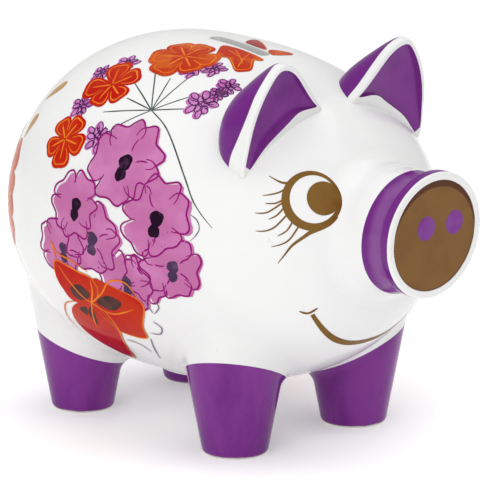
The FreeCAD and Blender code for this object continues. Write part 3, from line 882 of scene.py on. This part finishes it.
def egg_line(piece, skin, side, points, width, paint, lift, taper):
    """A stroke whose points are (ahead, around) on the body."""
    spots = [on_egg(skin, *point, side) for point in smooth(points, 8)]
    piece.stroke([(spot.origin, spot.normal) for spot in spots], (width, width), paint, lift, taper)


def bunch_line(piece, skin, side, points, width, paint, lift, taper):
    """A stroke that belongs to a flank's bunch of flowers."""
    egg_line(piece, skin, side, [bunch_place(side, *point) for point in points], width, paint, lift, taper)


def bunch_place(side, ahead, around):
    """Where a place of the right flank's bunch is on a flank. The left one stays below the pig's back."""
    if side == "right":
        return ahead, around
    return ahead - LEFT_BUNCH_BACK, around * LEFT_BUNCH_SQUEEZE - LEFT_BUNCH_DROP


def circle(radius, centre=(0.0, 0.0), steps=48):
    return [(centre[0] + radius * math.cos(2 * math.pi * k / steps),
             centre[1] + radius * math.sin(2 * math.pi * k / steps)) for k in range(steps)]


def eye(name, spot, layer, paints):
    """A ring, thin above and thick below, an iris that touches its front, lashes behind, and a tail below."""
    piece = Print(name)
    gold = paints["gold"]
    piece.band(spot, circle(EYE_RADIUS), circle(9.0, (0.9, 0.4)), gold, layer)
    piece.patch(spot, circle(6.4, (4.6, 0.3), 32), gold, layer + 0.02)
    lashes = (
        ((-8, 6), (-11, 4.5), (-14, 4), (-17.5, 4)), ((-10, 1.5), (-13.5, 0.5), (-17, 1)),
        ((-10.5, 0.5), (-15.5, -2), (-18, -2.5), (-21, -2)), ((-10.5, -1.5), (-13.5, -4), (-16.5, -5)),
        ((-10, -4.5), (-14.5, -8), (-18, -9), (-21.5, -8.5)), ((-8, -7), (-10.5, -10), (-14, -11.5)),
        ((-6, -9), (-9.5, -13), (-12.5, -14.5), (-16.5, -15)),
    )
    for points in lashes:
        piece.line(spot, points, (0.75, 0.42), gold, layer + 0.01, (0.9, 0.5))
    brow = ((-3.5, 10), (-6, 8), (-8.5, 7.5), (-11, 8.5), (-14, 11))
    piece.line(spot, brow, (1.4, 0.5), gold, layer + 0.01, (0.9, 0.5))
    tail = ((8.5, -7), (5, -9.5), (-1.5, -11.5), (-4.5, -13), (-9, -15.5), (-12, -18.5), (-14.5, -21))
    piece.line(spot, tail, (2.2, 0.3), gold, layer + 0.015, (0.6, 0.8))
    return piece.finish()


def mouth(skin, layer, paints):
    """A smile, thickest at the right cheek, with a short crease at each end."""
    piece = Print("smile")
    (right, left), (middle, lowest) = SMILE_ENDS, SMILE_LOWEST
    across = [right + (left - right) * k / SMILE_STEPS for k in range(SMILE_STEPS + 1)]
    curve = [front_drop(skin, y, lowest + SMILE_RISE * abs(y - middle) ** SMILE_CURL) for y in across]
    piece.stroke(curve, (3.0, 2.7), paints["gold"], layer, (0.55, 0.15))
    for side in SIDES.values():
        crease = smooth([(side * y, z) for y, z in ((34, 62), (31, 61), (28.5, 63))], 6)
        places = [front_drop(skin, *point) for point in crease]
        piece.stroke(places, (0.9, 1.0), paints["gold"], layer + 0.01, (0.4, 0.4))
    return piece.finish()


def front_drop(skin, y, z):
    """Where a line from the front, y and z in mm, meets the body."""
    return skin.drop(Vector((150, y, z)) * MM, Vector((-1, 0, 0)))


def nostrils(paints):
    """Two flat purple ovals on the snout's face."""
    skin = Skin("snout")
    for side, sign in SIDES.items():
        piece = Print(f"nostril_{side}")
        spot = Spot(skin, FACE_CENTRE + FACE_AXIS * NEAR_THE_SKIN, -FACE_AXIS, "right", 0.0, True)
        centre = NOSTRIL_MIDDLE + Vector((sign * NOSTRIL_SPACING / 2, 0))
        oval = [(centre.x + u, centre.y + v * NOSTRIL_TALL) for u, v in circle(NOSTRIL_RADIUS, steps=36)]
        piece.patch(spot, oval, paints["nostril"], NOSTRIL_LIFT)
        piece.finish()


def print_paints():
    """Every print's paint, by a short name."""
    return {
        "gold": print_paint("gold_print", GOLD_PRINT, (0.125, 0.045, 0.008), 70.0, 0.45, 0.8),
        "pink": print_paint("pink_print", PINK, PINK_PALE, 60.0),
        "magenta": print_paint("magenta_line", MAGENTA, (0.34, 0.03, 0.22), 200.0, 0.5, 0.9),
        "ink": print_paint("flower_heart", INK, (0.05, 0.018, 0.055), 300.0, 0.5, 0.7),
        "ink_pale": print_paint("pale_flower_heart", INK_PALE, (0.10, 0.05, 0.11), 300.0, 0.5, 0.7),
        "vermilion": print_paint("vermilion_print", VERMILION, (0.53, 0.082, 0.010), 90.0, 0.45, 0.6),
        "orange": print_paint("orange_line", ORANGE, (0.72, 0.21, 0.02), 160.0),
        "red": print_paint("red_print", RED, (0.46, 0.024, 0.004), 60.0),
        "red_low": red_low_paint(),
        "deep_red": print_paint("deep_red_print", RED_DARK, (0.38, 0.010, 0.002), 120.0),
        "umber": print_paint("flower_blotch", (0.045, 0.018, 0.018), (0.085, 0.03, 0.025), 260.0),
        "lilac": print_paint("lilac_print", LILAC_PALE, LILAC, 150.0),
        "plum": print_paint("plum_line", (0.055, 0.008, 0.065), (0.10, 0.02, 0.11), 300.0),
        "stem": print_paint("stem_line", STEM, (0.10, 0.12, 0.11), 250.0),
        "grey_line": print_paint("grey_line", (0.16, 0.12, 0.19), (0.28, 0.22, 0.32), 250.0),
        "salmon": print_paint("salmon_print", SALMON, (0.58, 0.17, 0.10), 70.0),
        "tan": print_paint("tan_print", TAN, (0.54, 0.34, 0.17), 90.0),
        "nostril": print_paint("nostril_print", PURPLE_LIGHT, PURPLE, 120.0),
    }


def rear_flowers(skin, side, paints):
    """Two overlapping flowers on the rear quarter, given as (ahead, around, radius)."""
    for k, (ahead, around, radius) in enumerate(((-57.0, 14.0, 19.0), (-55.0, -3.0, 17.0))):
        spot = on_egg(skin, ahead, around, side)
        star_flower(f"rear_flower_{k + 1}_{side}", spot, radius, 36.0, REAR_SEED + k,
                    BLOSSOM_LIFT + LIFT_STEP * k, paints, fill="salmon")


def flower_bunch(skin, side, paints):
    """A flank's bunch, from the prints underneath to those on top."""
    def place(ahead, around):
        return on_egg(skin, *bunch_place(side, ahead, around), side)

    # Each lilac is (ahead, around, radius).
    lilacs = (
        (35, 55.5, 7), (38, 66, 5.5), (37.5, 61.5, 4), (18.5, 68, 5.5), (25.5, 71.5, 5), (-11.5, 63, 5.5),
        (-19, 57, 5), (-16, 42.5, 5.5), (0.5, 33.5, 6.5),
    )
    for k, (ahead, around, radius) in enumerate(lilacs):
        lilac_cluster(f"lilac_{k + 1}_{side}", place(ahead, around), radius, LILAC_SEED + k, LILAC_LIFT,
                      paints)
    # Each blossom is (ahead, around, radius, turn, the paint of its heart).
    blossoms = (
        (35, -11.5, 11, 20, None), (25, -13, 12.5, 35, "ink_pale"), (-6.5, -6, 12.5, 30, "ink_pale"),
        (9.5, 0, 14.5, 50, "ink_pale"), (46.5, -5, 13, -5, "ink_pale"), (0, 10, 13.5, 60, "ink"),
        (39, 11.5, 16, 84, "ink"), (19, 27.5, 16.5, 42, "ink"),
    )
    for k, (ahead, around, radius, turn, heart) in enumerate(blossoms):
        pink_blossom(f"blossom_{k + 1}_{side}", place(ahead, around), radius, turn, BLOSSOM_SEED + k,
                     BLOSSOM_LIFT + LIFT_STEP * k, paints, heart)
    # Each star is (ahead, around, radius, turn, squash, petals, paint).
    stars = [
        (-15.5, 30, 11.5, 62, 1.0, 5, "red"), (-8.5, 52.5, 12, 50, 1.0, 5, "red"),
        (8.5, 72.5, 15, 20, 0.85, 6, "vermilion"),
    ]
    if side == "left":
        stars.append((24.5, 79.5, 12.5, 15, 0.55, 5, "vermilion"))
    for k, (ahead, around, radius, turn, squash, count, fill) in enumerate(stars):
        star_flower(f"star_flower_{k + 1}_{side}", place(ahead, around), radius, turn, STAR_SEED + k,
                    STAR_LIFT + LIFT_STEP * k, paints, squash, count, fill)
    if side == "right":
        near, far = (on_egg(skin, *SLOT_FLOWER_PLACE, which) for which in ("right", "left"))
        slot_flower("slot_flower", near, far, STAR_LIFT, paints)
    big_red_flower(f"red_flower_{side}", place(2.5, -23), RED_FLOWER_LIFT, paints)


def decorate():
    """All the printed decoration: the face, and a bunch of flowers on each flank."""
    paints = print_paints()
    skin = Skin("body_shell")
    nostrils(paints)
    mouth(skin, FACE_LIFT, paints)
    for side in SIDES:
        eye(f"eye_{side}", on_egg(skin, *EYE_PLACES[side], side, EYE_TURN, True), FACE_LIFT, paints)
        stems(f"stems_{side}", skin, side, STEM_LIFT, paints)
        rear_leaves(f"rear_leaves_{side}", skin, side, LEAF_LIFT, paints)
        rear_flowers(skin, side, paints)
        flower_bunch(skin, side, paints)


# ---------------------------------------------------------------------------------- floor, light and camera

def soft_light(name, place, size, watts):
    """A square soft box that faces the pig. Places and sizes are in metres."""
    data = bpy.data.lights.new(name, "AREA")
    data.shape = "SQUARE"
    data.size = size
    data.energy = watts
    light = bpy.data.objects.new(name, data)
    light.location = place
    light.rotation_euler = (Vector(LAMP_TARGET) - Vector(place)).to_track_quat("-Z", "Y").to_euler()
    bpy.context.scene.collection.objects.link(light)
    return light


def studio():
    """A pale floor that runs into a pale surround, a key light in front and a broad light above."""
    data = bpy.data.meshes.new("floor")
    corners = [(x * FLOOR_HALF, y * FLOOR_HALF, 0) for x, y in ((-1, -1), (1, -1), (1, 1), (-1, 1))]
    data.from_pydata(corners, [], [(0, 1, 2, 3)])
    floor = bpy.data.objects.new("floor", data)
    bpy.context.scene.collection.objects.link(floor)
    paint = Paint("floor_paper")
    paper = mottled(paint, (0.93, 0.93, 0.93), (0.91, 0.91, 0.91), 6.0)
    data.materials.append(paint.set(Base_Color=paper, Roughness=0.9, Emission_Color=(1.0, 1.0, 1.0),
                                    Emission_Strength=FLOOR_GLOW))
    world = bpy.data.worlds.new("surround")
    world.use_nodes = True
    background = world.node_tree.nodes["Background"]
    background.inputs["Color"].default_value = (1.0, 1.0, 1.0, 1.0)
    background.inputs["Strength"].default_value = SURROUND_STRENGTH
    bpy.context.scene.world = world
    soft_light("key", (0.75, -1.5, 1.0), 1.1, 12.0).visible_glossy = False
    soft_light("top", (0.1, 0.2, 2.4), 2.4, 29.0)
    bpy.context.scene.view_settings.view_transform = "Standard"


def camera():
    data = bpy.data.cameras.new("camera")
    data.lens = CAMERA_LENS
    data.sensor_width = CAMERA_SENSOR
    data.clip_end = CAMERA_CLIP_END
    view = bpy.data.objects.new("camera", data)
    flat = math.cos(CAMERA_ELEVATION)
    back = Vector((math.sin(CAMERA_AZIMUTH) * flat, -math.cos(CAMERA_AZIMUTH) * flat,
                   math.sin(CAMERA_ELEVATION)))
    view.location = CAMERA_TARGET + back * CAMERA_DISTANCE
    view.rotation_euler = (-back).to_track_quat("-Z", "Y").to_euler()
    bpy.context.scene.collection.objects.link(view)
    bpy.context.scene.camera = view


dress_frame()
decorate()
studio()
camera()
